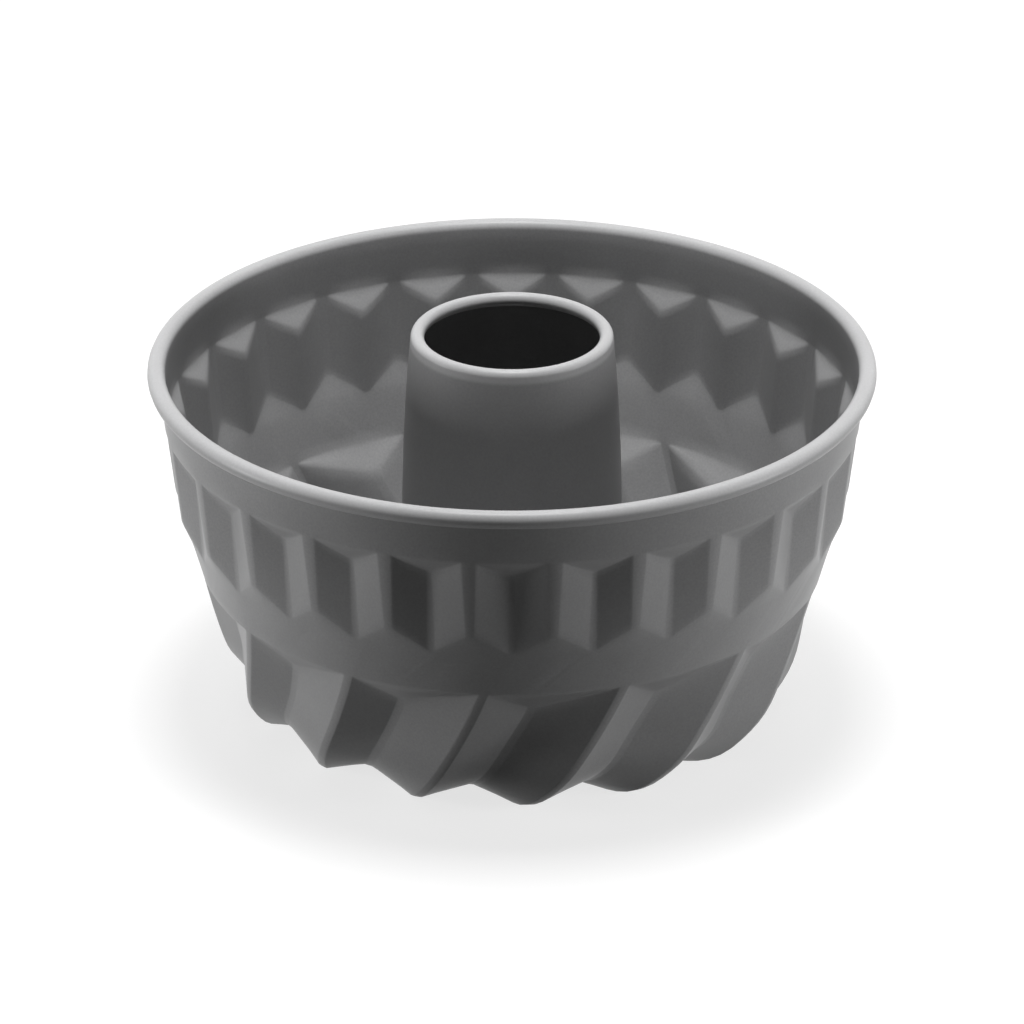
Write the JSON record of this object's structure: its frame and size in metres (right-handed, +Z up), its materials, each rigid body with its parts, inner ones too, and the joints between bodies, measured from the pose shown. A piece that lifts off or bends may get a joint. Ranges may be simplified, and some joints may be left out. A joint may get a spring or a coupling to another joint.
{
  "type": "pudding mould",
  "caption": "Ring-shaped fluted baking mould in coated sheet steel, with upright flutes over a swirled base, a rolled rim and an open centre tube.",
  "frame": {"origin": "on the table plane that the swirled ribs rest on, under the axis of the centre tube", "axes": "+Z up along the tube's axis towards the rim; -Y is the side that faces the picture's camera, +X is to its right"},
  "size_m": [0.22, 0.22, 0.123],
  "materials": {
    "shell_coating": "satin dark grey non-stick coating on drawn sheet steel",
    "tube_coating": "satin dark grey non-stick coating on sheet steel",
    "wire_steel": "drawn steel wire, hidden in the rolled rim"
  },
  "bodies": {
    "root": {"fluted_shell": "shell_coating", "centre_tube": "tube_coating", "rim_wire": "wire_steel"}
  },
  "joints": []
}
